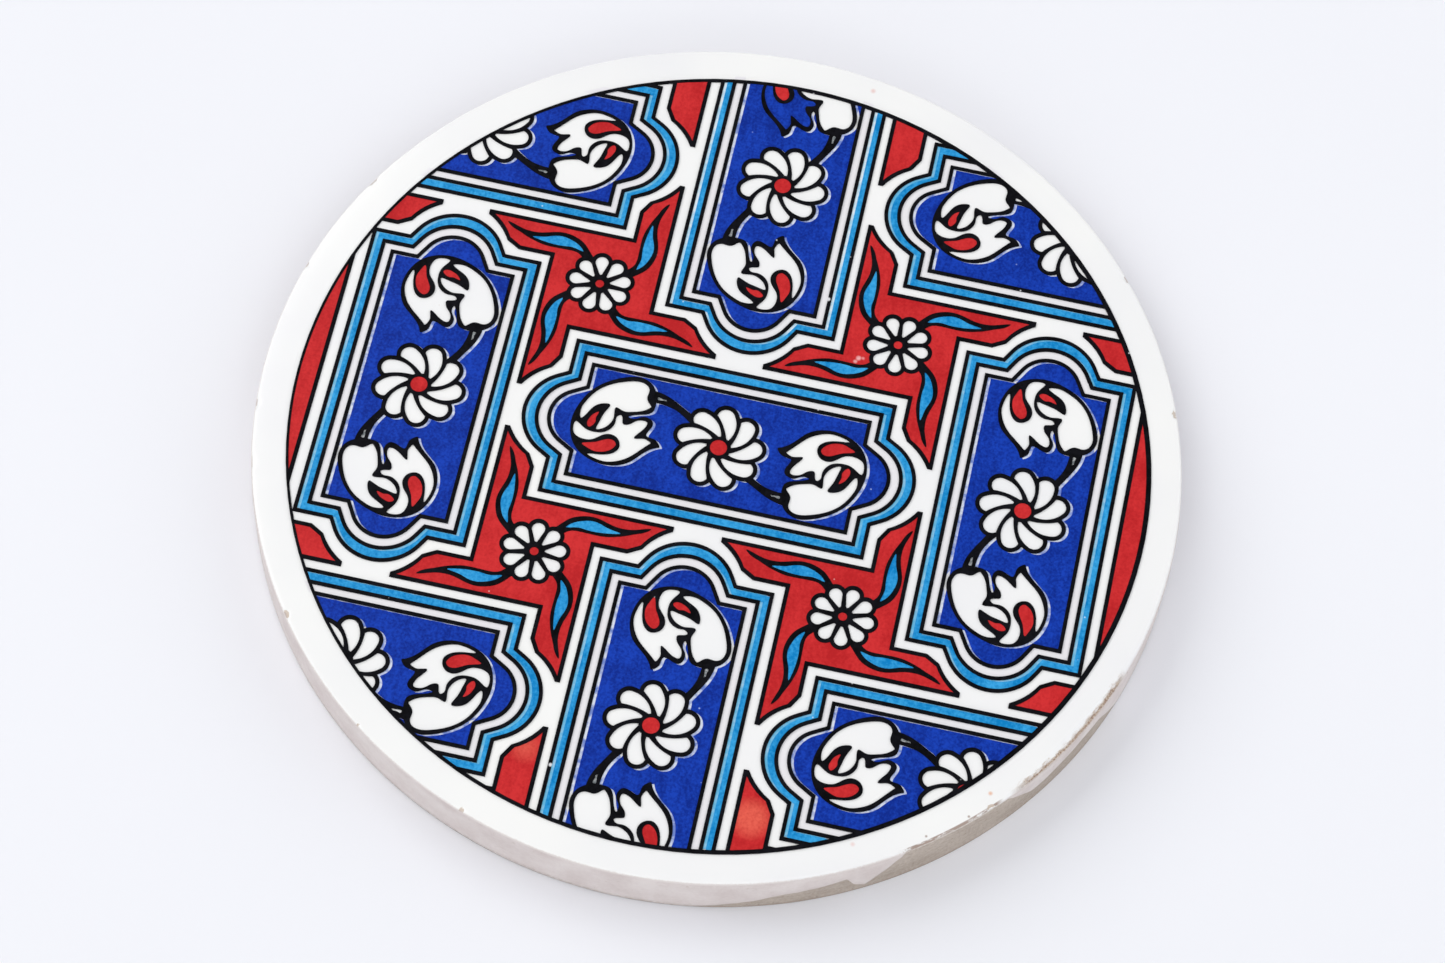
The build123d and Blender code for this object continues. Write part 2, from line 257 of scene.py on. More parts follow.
# The white glaze: a cap over the top with a rounded edge and a short skirt. Lengths are in mm
glaze = {
    "angles": 1440, "edgeRadius": 0.28, "edgeSteps": 12, "thickness": 0.35,
    "flatRadii": [0, 12, 24, 34, 42, 47, 48.3, 48.8, 49.3, 49.8, 50.3, 50.7, 51.1, 51.4, 51.7, 52.0, 52.2],
    "skirtWobble": 0.1, "ripple": 0.035,
    # the margin falls by roll from this radius on, and the edge is worn back from the other one
    "roll": 0.03, "rollFrom": 50.6, "rollWidth": 2.0, "wornFrom": 51.6, "wornWidth": 1.0,
    # how far the edge is worn back, at angles in degrees: most at the right front
    "insetAngles": [-180, -150, -130, -100, -62, -56, -53, -44, -41, -38, -35,
                    -32, -26, -23, -20, -17, -10, 2, 20, 60, 120, 180],
    "insets": [0.12, 0.08, 0.02, 0.0, 0.08, 0.10, 0.24, 0.26, 0.30, 0.55, 0.74,
               0.86, 0.86, 0.68, 0.50, 0.26, 0.20, 0.18, 0.14, 0.10, 0.12, 0.12],
    # chips in the edge: angle in degrees, half width, depth, share of bare clay that shows
    "chips": [(-173, 0.8, 0.14, 0.0), (-165, 1.1, 0.12, 0.0), (-143.7, 0.6, 0.18, 0.9),
              (-126.6, 0.35, 0.12, 0.6), (-110, 0.5, 0.14, 0.6), (18, 0.6, 0.16, 0.6),
              (38, 0.5, 0.14, 0.0), (152, 0.8, 0.16, 0.0), (166.6, 0.6, 0.14, 0.0),
              (-43.3, 0.45, 0.16, 1.0)],
    "chipHeight": 0.34, "chipReach": 0.4,
}


def makeGlaze(material):
    # profile from the middle of the top out to the rounded edge, down the skirt and back under the cap
    angles = np.arange(glaze["angles"]) / glaze["angles"] * 2 * np.pi
    edge = glaze["edgeRadius"]
    top = glazeTop / mm
    outer = discRadius / mm
    skirt = glazeSkirt / mm
    inner = clayRadius / mm
    flat = np.array(glaze["flatRadii"])
    bend = np.linspace(0, np.pi / 2, glaze["edgeSteps"])
    bendR = outer - edge + edge * np.sin(bend)
    bendZ = top - edge + edge * np.cos(bend)
    sideZ = np.linspace(top - edge, skirt, 6)[1:]
    sideR = np.linspace(outer - 0.01, inner + 0.06, 5)
    insideR = np.array([inner + 0.02, inner + 0.02, inner - 0.1, 40, 20, 0])
    insideZ = np.array([skirt + 0.02, top - edge - 0.05] + [top - glaze["thickness"]] * 4)
    r = np.concatenate([flat, bendR[1:], sideR, insideR])[None, :].repeat(len(angles), 0)
    z = np.concatenate([np.full(len(flat), top), bendZ[1:], sideZ, insideZ])[None, :].repeat(len(angles), 0)
    outside = len(flat) + len(bendR) - 1 + len(sideR)
    # the margin falls away a little towards the edge, and the edge wanders in and out
    ripple = wave(angles, [9, 17, 31, 57, 103, 171], [0.6, 0.6, 0.7, 0.7, 0.6, 0.5], 4)[:, None]
    inset = wornBack(np.degrees(angles))[:, None] + glaze["ripple"] * (1 + ripple)
    nearEdge = np.clip((r[:, :outside] - glaze["rollFrom"]) / glaze["rollWidth"], 0, 1) ** 2
    z[:, :outside] -= glaze["roll"] * nearEdge * (1 + 0.5 * ripple) * np.clip(z[:, :outside] - skirt, 0, 1)
    worn = inset * np.clip((z[:, :outside] - skirt) / (top - skirt), 0, 1) + 0.02 * (1 + ripple)
    r[:, :outside] -= worn * np.clip((r[:, :outside] - glaze["wornFrom"]) / glaze["wornWidth"], 0, 1)
    # the skirt's lower border wanders up and down
    border = wave(angles, [4, 7, 13, 23, 41], [1, 0.9, 0.7, 0.5, 0.4], 9)[:, None]
    low = np.clip((top - edge - z[:, :outside]) / (top - edge - skirt), 0, 1)
    z[:, :outside] += glaze["skirtWobble"] * low * (1 + border)
    z[:, outside] += (glaze["skirtWobble"] * (1 + border))[:, 0]
    # chips: the edge is pressed in around each chip's middle, with a ragged outline
    x = r * np.cos(angles)[:, None]
    y = r * np.sin(angles)[:, None]
    mask = np.zeros_like(r)
    rng = np.random.default_rng(21)
    for degrees, half, depth, shown in glaze["chips"]:
        a = np.radians(degrees)
        lift = rng.uniform(-0.1, 0.1)
        along = (-np.sin(a) * x + np.cos(a) * y) / half
        across = (np.hypot(x - (outer - 0.2) * np.cos(a), y - (outer - 0.2) * np.sin(a)) ** 2
                  - (along * half) ** 2).clip(0) ** 0.5
        rise = (z - (top - 0.12 + lift)) / glaze["chipHeight"]
        ragged = 0.25 * np.sin(9 * along + degrees) + 0.15 * np.sin(23 * along + 2 * degrees)
        reach = along ** 2 + (across / glaze["chipReach"]) ** 2 + rise ** 2
        near = np.clip((1 - reach * (1 + ragged)) * 2.2, 0, 1)
        mask = np.maximum(mask, near * shown)
        r[:, :outside] -= (depth * near)[:, :outside]
        z[:, :outside] -= (0.5 * depth * near)[:, :outside]
    verts, faces = turnedShell(r * mm, z * mm)
    piece = newPiece("glazedTop", verts, faces, material, "white_glaze", "white_glaze")
    chip = piece.data.attributes.new("chip", "FLOAT", "POINT")
    values = np.zeros(len(verts), np.float32)
    mask = mask[:, 1:-1]
    mask[:, outside - 1:] = 0
    values[:mask.size] = mask.ravel()
    chip.data.foreach_set("value", values)
    return piece


# The clay disc. Lengths are in mm
clay = {
    "angles": 720, "sideRows": 16, "footRound": 0.14, "footRows": 9, "wander": 0.03, "dent": 0.03,
    # the lower side stands this much further out, and draws in again above spreadTop
    "spread": 0.08, "spreadTop": 5.9, "tuckFrom": 6.1,
}


def makeClay(material):
    # profile from the middle of the top out, down the upright side, round the foot and back underneath
    angles = np.arange(clay["angles"]) / clay["angles"] * 2 * np.pi
    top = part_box("clay_body")[1].z / mm
    outer = clayRadius / mm + clay["spread"]
    foot = clay["footRound"]
    sideZ = np.linspace(top - 0.3, foot, clay["sideRows"])
    bend = np.linspace(0, np.pi / 2, clay["footRows"])[1:]
    r = np.concatenate([[0, 20, 40, 51, outer - 0.25, outer - 0.06], np.full(clay["sideRows"], outer),
                        outer - foot + foot * np.cos(bend), [48, 36, 24, 12, 0]])
    z = np.concatenate([[top] * 4, [top - 0.03, top - 0.15], sideZ, foot - foot * np.sin(bend), [0] * 5])
    r = r[None, :].repeat(len(angles), 0)
    z = z[None, :].repeat(len(angles), 0)
    # the pressed side wanders, with shallow dents that change with height
    grid = angles[:, None]
    wander = wave(grid + 0 * z, [2, 5, 11, 19, 37], [1, 0.8, 0.6, 0.5, 0.3], 12)
    dents = np.sin(41 * grid + 1.7 * z) * np.sin(17 * grid - 2.3 * z + 1)
    onSide = (np.abs(r - outer) < 0.9) * np.clip(z / 0.4, 0, 1)
    r -= onSide * (clay["wander"] * (0.5 + 0.5 * wander) + clay["dent"] * (0.5 + 0.5 * dents))
    # near its top it keeps under the glaze, also where the edge is worn back
    tuck = wornBack(np.degrees(grid)) * np.clip((z - clay["tuckFrom"]) / 0.7, 0, 1)
    tuck = tuck + clay["spread"] * np.clip((z - clay["spreadTop"]) / 0.4, 0, 1)
    r -= (r > 51.5) * tuck
    verts, faces = turnedShell(r * mm, z * mm)
    return newPiece("clayDisc", verts, faces, material, "clay", "clay_body")


# The thin wash on the side. Lengths are in mm
wash = {
    "across": 1440, "up": 24, "thickness": 0.07, "top": 6.72, "low": 0.16, "lowWobble": 0.12,
    # the slanting ends, in degrees, and how far they wander
    "startTop": -42, "startLow": -37, "endTop": 305, "endLow": 300, "endWobble": 0.35,
    # how much higher the lower border lies at some angles: a long step at the start, a low wedge at the end
    "liftAngles": [-42, -39, -36, -32, -28, -24.5, -22, -19.5, 279, 283, 286, 290, 295, 297.6, 298.6,
                   300, 304, 308],
    "lifts": [4.4, 3.6, 2.9, 3.4, 4.0, 3.9, 1.9, 0, 0, 0.8, 1.5, 2.7, 3.4, 3.9, 1.9,
              0.9, 0.7, 0.6],
    # near its top it follows the worn edge in, and the clay under it draws in
    "tuckFrom": 6.0, "tuckHeight": 0.9, "tuckShare": 0.8, "spreadEnd": 6.3,
}


def makeWash(material):
    # thin shell on the side: u runs round the disc between two slanting ends, v runs up from a ragged border
    u = np.linspace(0, 1, wash["across"])[:, None]
    v = np.linspace(0, 1, wash["up"])[None, :]
    start = wash["startLow"] + (wash["startTop"] - wash["startLow"]) * v
    end = wash["endLow"] + (wash["endTop"] - wash["endLow"]) * v
    degrees = start + (end - start) * u
    ragged = wave(np.radians(degrees), [5, 9, 21, 47, 83, 149], [1, 1, 0.8, 0.7, 0.6, 0.5], 31)
    nearEnds = np.clip(1 - 60 * u, 0, 1) + np.clip(60 * u - 59, 0, 1)
    degrees = degrees + wash["endWobble"] * ragged * nearEnds
    angles = np.radians(degrees)
    lift = np.interp(degrees, wash["liftAngles"], wash["lifts"])
    lowBorder = wash["low"] + wash["lowWobble"] * ragged * (1 + 1.2 * np.clip(lift, 0, 1)) + lift
    z = lowBorder + (wash["top"] - lowBorder) * v
    skin = wash["thickness"] * np.clip(6 * v, 0.25, 1) * (0.8 + 0.2 * np.sin(31 * angles + 2 * z))
    foot = clay["footRound"]
    base = clayRadius / mm - foot + np.sqrt(np.clip(foot ** 2 - np.clip(foot - z, 0, foot) ** 2, 0, None))
    base = base + clay["spread"] * np.clip((wash["spreadEnd"] - z) / 0.4, 0, 1)
    worn = wornBack(degrees) * np.clip((z - wash["tuckFrom"]) / wash["tuckHeight"], 0, 1) * wash["tuckShare"]
    outerR = np.minimum(base + skin, discRadius / mm - 0.02) - worn
    innerR = base - 0.06 - worn
    loopR = np.concatenate([outerR, innerR[:, ::-1]], 1)
    loopZ = np.concatenate([z, z[:, ::-1]], 1)
    loopA = np.concatenate([angles, angles[:, ::-1]], 1)
    verts = np.stack([loopR * np.cos(loopA), loopR * np.sin(loopA), loopZ], 2).reshape(-1, 3) * mm
    count, wide = loopR.shape
    i, j = np.meshgrid(np.arange(count - 1), np.arange(wide), indexing="ij")
    nextJ = (j + 1) % wide
    nextRow = (i + 1) * wide
    quads = np.stack([i * wide + j, nextRow + j, nextRow + nextJ, i * wide + nextJ], 2).reshape(-1, 4)
    k = np.arange(wash["up"] - 1)
    ends = np.stack([k, k + 1, wide - 2 - k, wide - 1 - k], 1)
    far = (count - 1) * wide + ends[:, ::-1]
    return newPiece("sideWash", verts, quads.tolist() + ends.tolist() + far.tolist(), material,
                    "side_wash", "side_glaze_wash")


# Pale edges where the blues were laid a little off their lines, in mm
slip = {"x": 0.33, "y": -0.10, "height": 0.045}


def makePaleEdges(name, ending, material, slotName):
    # the blue shapes again, set back by the slip and much thinner, so that they show only beside the lines
    verts, faces, start = [], [], 0
    for place in placeNames:
        mesh = nodes[place + ending].data
        co = np.zeros(len(mesh.vertices) * 3, np.float32)
        mesh.vertices.foreach_get("co", co)
        mesh.calc_loop_triangles()
        tris = np.zeros(len(mesh.loop_triangles) * 3, np.int32)
        mesh.loop_triangles.foreach_get("vertices", tris)
        verts.append(co.reshape(-1, 3).astype(float))
        faces.append(tris.reshape(-1, 3) + start)
        start += len(mesh.vertices)
    verts = np.concatenate(verts)
    raised = verts[:, 2] > glazeTop + 0.02 * mm
    verts[:, 0] -= slip["x"] * mm
    verts[:, 1] -= slip["y"] * mm
    verts[:, 2] = glazeTop + raised * slip["height"] * mm
    piece = newPiece(name, verts, np.concatenate(faces).tolist(), material, slotName)
    merged = bmesh.new()
    merged.from_mesh(piece.data)
    bmesh.ops.remove_doubles(merged, verts=merged.verts, dist=1e-7)
    merged.to_mesh(piece.data)
    merged.free()
    piece.data.polygons.foreach_set("use_smooth", np.zeros(len(piece.data.polygons), bool))
    return piece


# Colours of bare clay and of the side wash. Speck settings are, in this order: spacing in mm, a shift
# that makes each pattern its own, full and outer radius in mm, the channel that picks, the share left out
clayLook = {
    "dark": linear(158, 146, 135), "light": linear(190, 179, 169), "pore": linear(112, 98, 86),
    # foot is painted shade: darker clay at the bottom edge, where the disc meets the floor
    "foot": linear(118, 100, 86), "pores": (0.8, 0.007, (0.04, 0.12), "Blue", 0.6),
}
washLook = {"light": linear(216, 208, 205), "dark": linear(202, 191, 188), "worn": linear(176, 162, 150)}
# White glaze: broad warm and cool clouds, a few dust specks, bare clay in the chips, scuffs on the edge
glazeLook = {
    "light": linear(245, 245, 243), "shade": linear(239, 239, 240), "dust": linear(206, 192, 178),
    "bareClay": linear(196, 172, 150), "scuff": linear(196, 180, 164), "darkScuff": linear(146, 120, 104),
    "pink": linear(228, 180, 172), "orange": linear(226, 160, 112), "roughness": 0.13,
    "dustSpecks": (3.1, 0.013, (0.03, 0.08), "Red", 0.86),
    # white inside a frame is greyer, out to the ring; the stems' slits show a dark grey
    "framed": linear(235, 233, 236), "framedEnd": (49, 49.2),
    "slit": linear(84, 98, 104), "slitEnd": (47.5, 48),
    # the scuff: from and to angle in degrees, radius it starts and is fullest at in mm
    "scuffFrom": -40.5, "scuffTo": -18.5, "scuffInner": 51.55, "scuffFull": 52.35,
    # from here outwards the side begins, and between these angles it is bare clay
    "sideFrom": 52.42, "bareFrom": -55.5, "bareTo": -41.5,
    # a thin brown line over the bare clay: radius and height where it starts and is full
    "lineRadius": (52.18, 52.26), "lineHeight": (6.66, 6.76),
    # single small marks: x, y, radius and softness in mm, strength, colour name
    "marks": [(37.7, -34.4, 0.20, 0.12, 0.7, "orange"), (7.9, 50.2, 0.25, 0.15, 0.6, "pink"),
              (24.2, -43.6, 0.20, 0.15, 0.5, "pink"), (35.9, -37.6, 0.13, 0.08, 0.8, "darkScuff"),
              (31.8, -40.9, 0.12, 0.08, 0.8, "darkScuff")],
}


# The lobed panels of the pattern, in mm: shoulder and half width of the box, place and radius of the
# end lobe, the strip of white between blue and band, and the round places of the stems' slits
panel = {
    "shoulder": 17.20, "half": 8.35, "lobe": 16.15, "lobeRadius": 4.80, "flareBack": 0.5,
    "whiteFrom": (-1.3, -1.2), "whiteTo": (-0.05, 0.05),
    "slitAlong": 7.45, "slitAcross": 4.5, "slitSpread": (0.8, 0.9), "slitCorner": (-25, -20),
}


def panelMeasure(alongAxis, acrossAxis):
    # how far a point lies outside the band's inner line: the least of a box, a disc at its end and the
    # flare, a line at 60 degrees that joins them
    radius = panel["lobeRadius"]
    along = alongAxis.math("ABSOLUTE")
    across = acrossAxis.math("ABSOLUTE")
    box = (along - panel["shoulder"]).math("MAXIMUM", across - panel["half"])
    beyond = along - panel["lobe"]
    disc = (beyond * beyond + across * across) ** 0.5 - radius
    flare = (beyond * 0.5 + across * 0.866 - radius).math("MAXIMUM", beyond - radius / 2)
    flare = flare.math("MAXIMUM", panel["lobe"] - panel["flareBack"] - along)
    return box.math("MINIMUM", disc).math("MINIMUM", flare)


def panelMasks(x, y):
    # first 1 between the blue and the band of each panel, then 1 at the slits of its stems;
    # panels lie along x and along y by turns
    pitchMm = pitch / mm
    columnIndex = (x / pitchMm).math("ROUND")
    rowIndex = (y / pitchMm).math("ROUND")
    upright = (columnIndex + rowIndex).math("ABSOLUTE").math("MODULO", 2.0)
    cellX = x - columnIndex * pitchMm
    cellY = y - rowIndex * pitchMm
    along = cellX * (1 - upright) + cellY * upright
    across = cellY * (1 - upright) - cellX * upright
    own = panelMeasure(along, across)
    tip = panelMeasure(pitchMm - across.math("ABSOLUTE"), along)
    inner = own.above(*panel["whiteFrom"]) * own.below(*panel["whiteTo"])
    framed = inner.math("MAXIMUM", tip.above(*panel["whiteFrom"]) * tip.below(*panel["whiteTo"]))
    slitAlong = along.math("ABSOLUTE") - panel["slitAlong"]
    slitAcross = across.math("ABSOLUTE") - panel["slitAcross"]
    near = (slitAlong * slitAlong + slitAcross * slitAcross).below(*panel["slitSpread"])
    slits = near * (along * across).below(*panel["slitCorner"])
    return framed, slits


def makeGlazeFinish():
    f = Finish("white glaze")
    s = glazeLook
    x, y, z = f.axes()
    radius = (x * x + y * y) ** 0.5
    degrees = f.add("ShaderNodeMath", {"operation": "ARCTAN2"}, {0: y, 1: x})["Value"] * (180 / math.pi)
    clouds = f.noise(0.05, 2)
    colour = f.mix(clouds.above(0.35, 0.7), s["light"], s["shade"])
    framed, slits = panelMasks(x, y)
    colour = f.mix(framed * radius.below(*s["framedEnd"]), colour, s["framed"])
    colour = f.mix(f.specks(*s["dustSpecks"]) * 0.6, colour, s["dust"])
    fine = f.noise(4.5, 4, 0.65)
    slitShare = fine.above(0.4, 0.6) * 0.5 + 0.4
    colour = f.mix(slits * radius.below(*s["slitEnd"]) * slitShare, colour, s["slit"])
    # streaks that run along the edge, thicker outwards
    along = f.add("ShaderNodeCombineXYZ", None, {
        0: degrees * (0.26 * mm), 1: radius * mm, 2: z * (0.6 * mm)})["Vector"]
    streaks = f.noise(2.6, 5, 0.72, along)
    inside = degrees.above(s["scuffFrom"], s["scuffFrom"] + 3) * degrees.below(s["scuffTo"] - 2, s["scuffTo"])
    fullness = (radius - s["scuffInner"]) * (0.42 / (s["scuffFull"] - s["scuffInner"]))
    flaked = (streaks * 0.75 + fine * 0.25 + fullness).above(0.70, 0.86)
    scuff = inside * radius.above(s["scuffInner"], s["scuffInner"] + 0.15) * flaked
    colour = f.mix(scuff, colour, f.mix(fine.above(0.42, 0.58), s["darkScuff"], s["scuff"]))
    # the side from the edge down: the wash's colour, or bare clay under a thin brown line
    side = (radius + (fine - 0.5) * 0.25).above(s["sideFrom"], s["sideFrom"] + 0.13)
    bare = (degrees + (fine - 0.5) * 4).above(s["bareFrom"], s["bareFrom"] + 1)
    bare = bare * degrees.below(s["bareTo"] - 1, s["bareTo"])
    colour = f.mix(side, colour, f.mix(bare, washLook["light"], clayLook["light"]))
    line = bare * radius.above(*s["lineRadius"]) * z.above(*s["lineHeight"]) * streaks.above(0.36, 0.5)
    colour = f.mix(line * 0.85, colour, s["darkScuff"])
    chip = f.attribute("chip")
    chipped = (chip + (fine - 0.5) * 0.7).above(0.45, 0.58)
    colour = f.mix(chipped * 0.8, colour, f.mix(fine.above(0.4, 0.6), s["bareClay"], s["scuff"]))
    for px, py, size, soft, strength, tint in s["marks"]:
        colour = f.mix(f.spot(px, py, size, soft) * strength, colour, s[tint])
    rough = (chipped + scuff + side * 0.6).clamped()
    f.link("Base Color", colour)
    f.link("Roughness", s["roughness"] + fine * 0.05 + rough * 0.6)
    f.bump(f.noise(0.45, 2) * 0.6 + fine * 0.05 + rough * fine * 0.5, 0.25, 0.06)
    f.fixed(Coat_Roughness=0.05)
    return f.material


# Enamels: deep to pale by broad mottling, fine pressed grain, streaks across, and pale nicks. Broad and
# grain are in waves per mm, and the shares say how much of the tone grain and streaks make
enamels = {
    "blue enamel": {
        "deep": linear(0, 38, 136), "pale": linear(16, 62, 178), "nick": linear(170, 190, 228),
        "broad": 0.32, "grain": 3.2, "streakTurn": 62, "grainShare": 0.50, "streakShare": 0.26,
        "roughness": 0.40, "nickRare": 0.90, "bump": 0.30, "shine": 0.13},
    "turquoise enamel": {
        "deep": linear(0, 124, 191), "pale": linear(58, 164, 223), "nick": linear(205, 230, 245),
        "broad": 0.25, "grain": 2.4, "streakTurn": 62, "grainShare": 0.42, "streakShare": 0.28,
        "roughness": 0.38, "nickRare": 0.80, "bump": 0.30, "shine": 0.13},
    "red enamel": {
        "deep": linear(182, 30, 34), "pale": linear(206, 46, 48), "nick": linear(238, 205, 200),
        "broad": 0.22, "grain": 3.0, "streakTurn": -20, "grainShare": 0.35, "streakShare": 0.25,
        "roughness": 0.38, "nickRare": 0.90, "bump": 0.26, "shine": 0.13},
    "black line": {
        "deep": linear(2, 2, 5), "pale": linear(16, 16, 22), "nick": linear(215, 215, 218),
        "broad": 0.5, "grain": 3.0, "streakTurn": 15, "grainShare": 0.4, "streakShare": 0.2,
        "roughness": 0.5, "nickRare": 0.82, "bump": 0.22, "shine": 0.06},
}
# Worn patches in the red: x, y and radius in mm, softness, share and colour
redWear = [
    (12.8, -43.2, 1.9, 0.8, 0.9, linear(228, 98, 80)),
    (-12.8, -40.6, 1.2, 0.9, 0.7, linear(226, 96, 80)),
    (-5.5, 45.2, 2.2, 1.6, 0.5, linear(222, 86, 80)),
    (13.2, 14.8, 0.26, 0.12, 0.9, linear(244, 190, 190)),
    (12.9, 14.3, 0.20, 0.10, 0.8, linear(244, 190, 190)),
    (13.7, 14.9, 0.16, 0.10, 0.8, linear(240, 170, 170)),
]
# Single white nicks in the lines: x, y and radius in mm
lineNicks = [(8.3, 21.5, 0.22), (-9.7, -42.0, 0.20)]


def makeEnamelFinish(name):
    f = Finish(name)
    s = enamels[name]
    streaks = f.noise(1.5, 3, 0.6, f.stretched((1.0, 0.22, 1.0), s["streakTurn"]))
    grain = f.noise(s["grain"], 3, 0.6)
    broad = f.noise(s["broad"], 2)
    rest = 1 - s["grainShare"] - s["streakShare"]
    tone = grain * s["grainShare"] + streaks * s["streakShare"] + broad * rest
    colour = f.mix(tone.above(0.41, 0.59), s["deep"], s["pale"])
    if name == "red enamel":
        for x, y, radius, soft, share, patch in redWear:
            cover = f.spot(x, y, radius, soft) * (grain.above(0.3, 0.62) * 0.4 + 0.6) * share
            colour = f.mix(cover, colour, patch)
    if name == "black line":
        for x, y, radius in lineNicks:
            colour = f.mix(f.spot(x, y, radius, 0.08), colour, s["nick"])
    nicked = f.specks(1.7, 0.004, (0.05, 0.13), "Green", s["nickRare"])
    colour = f.mix(nicked * 0.8, colour, s["nick"])
    f.link("Base Color", colour)
    f.link("Roughness", s["roughness"] + (grain - 0.5) * 0.12)
    f.bump(grain * 0.6 + streaks * 0.4, s["bump"], 0.03)
    f.fixed(Specular_IOR_Level=s["shine"])
    return f.material


# The top panel's place in mm: the turquoise film is thinner there than elsewhere
topPanel = {"low": (15.5, 16.5), "left": (-12.5, -11.5), "right": (11.5, 12.5)}


# Pale film beside the lines: white glaze showing through a thinned colour
def makeFilmFinish(name, thin, thick, full=None):
    # with a full colour given, the film is nearly opaque everywhere but in the top panel
    f = Finish(name)
    cover = f.noise(0.7, 4, 0.65)
    colour = f.mix(cover.above(0.42, 0.62), thin, thick)
    if full:
        x, y = f.axes()[:2]
        inTopPanel = y.above(*topPanel["low"]) * x.above(*topPanel["left"]) * x.below(*topPanel["right"])
        colour = f.mix((1 - inTopPanel) * (cover.above(0.3, 0.6) * 0.4 + 0.6), colour, full)
    f.link("Base Color", colour)
    f.link("Roughness", 0.2 + cover * 0.1)
    f.bump(cover, 0.15, 0.02)
    return f.material


# Bare clay: warm grey, sandy grain, darker pores, pressed bands running round, and painted shade: a darker
# foot where the disc meets the floor
def makeClayFinish():
    f = Finish("bare clay")
    x, y, z = f.axes()
    sand = f.noise(2.6, 5, 0.7)
    broad = f.noise(0.16, 3)
    bands = f.noise(1.0, 3, 0.6, f.stretched((0.15, 0.15, 1.4)))
    tone = sand * 0.5 + broad * 0.3 + bands * 0.2
    colour = f.mix(tone.above(0.38, 0.62), clayLook["dark"], clayLook["light"])
    pores = f.specks(*clayLook["pores"])
    colour = f.mix(pores * 0.7, colour, clayLook["pore"])
    # painted contact shade: near the floor the clay is mixed towards the darker foot colour
    colour = f.mix(z.below(0.1, 0.5) * (sand.above(0.3, 0.6) * 0.3 + 0.25), colour, clayLook["foot"])
    f.link("Base Color", colour)
    f.link("Roughness", 0.82 + sand * 0.12)
    f.bump(sand * 0.7 + bands * 0.3 - pores * 0.8, 0.6, 0.08)
    f.fixed(Specular_IOR_Level=0.25)
    return f.material


# Side wash: pinkish grey film over the clay, worn in places and darker at its lower border
def makeWashFinish():
    f = Finish("side wash")
    x, y, z = f.axes()
    clouds = f.noise(0.28, 3)
    fine = f.noise(2.2, 5, 0.65)
    colour = f.mix((clouds * 0.7 + fine * 0.3).above(0.36, 0.64), washLook["light"], washLook["dark"])
    low = z.below(0.3, 0.9) * fine.above(0.35, 0.6)
    rubbed = f.noise(0.9, 5, 0.7).above(0.62, 0.68) * fine.above(0.4, 0.55)
    colour = f.mix((low * 0.6 + rubbed * 0.4).clamped(), colour, washLook["worn"])
    f.link("Base Color", colour)
    f.link("Roughness", 0.42 + fine * 0.2)
    f.bump(fine * 0.6 + clouds, 0.3, 0.05)
    f.fixed(Specular_IOR_Level=0.4)
    return f.material


print("stage: finishes")
glazeMaterial = makeGlazeFinish()
clayMaterial = makeClayFinish()
washMaterial = makeWashFinish()
enamelMaterials = {name: makeEnamelFinish(name) for name in enamels}
blueFilm = makeFilmFinish("thin blue film", linear(222, 228, 241), linear(112, 136, 208))
turquoiseFilm = makeFilmFinish(
    "thin turquoise film", linear(226, 238, 244), linear(170, 215, 238), linear(96, 184, 224))

for name, node in nodes.items():
    if "blue_field" in name:
        finish = enamelMaterials["blue enamel"]
    elif "turquoise" in name or "leaves" in name:
        finish = enamelMaterials["turquoise enamel"]
    elif "red" in name:
        finish = enamelMaterials["red enamel"]
    elif "ink" in name or name == "border_ring":
        finish = enamelMaterials["black line"]
    else:
        finish = clayMaterial
    for entry in node.material_slots:
        entry.material = finish

print("stage: clay, wash and glaze surfaces")
makeClay(clayMaterial)
makeWash(washMaterial)
makeGlaze(glazeMaterial)
print("stage: pale films beside the lines")
makePaleEdges("thinBlueEdge", "_blue_field", blueFilm, "blue_enamel")
makePaleEdges("thinTurquoiseEdge", "_turquoise_band", turquoiseFilm, "turquoise_enamel")

print("stage: floor, lights and camera")
studio = {
    "floorHalf": 2.0, "floorCells": 20, "floorDrop": 0.00002, "floorColour": linear(240, 241, 246),
    # a dim sky overhead and a bright horizon keep the colours deep and the rounded edge bright
    "horizon": (0.95, 0.96, 1.0), "zenith": (0.28, 0.285, 0.30), "fadeFrom": 0.1, "fadeTo": 0.75,
    "worldStrength": 0.88,
    # area lights: place in metres, size in metres, power in watts, colour
    "lights": [
        ((-1.1, 0.55, 1.15), 1.5, 16, (1.0, 0.99, 0.97)),
        ((1.2, 0.40, 1.1), 1.6, 8, (0.98, 0.99, 1.0)),
        ((0.1, -0.95, 1.35), 1.5, 7.5, (1.0, 1.0, 0.99)),
        ((0.15, -1.3, 0.55), 1.0, 3.5, (1.0, 0.99, 0.98)),
    ],
    # camera: lens and sensor in mm, place in metres, where it looks and what is right for it
    "lens": 106.9, "sensor": 36, "cameraPlace": (0.02863, -0.21618, 0.43980),
    "cameraForward": (-0.05656, 0.43936, -0.89653), "cameraRight": (0.97699, 0.20930, 0.04094),
}


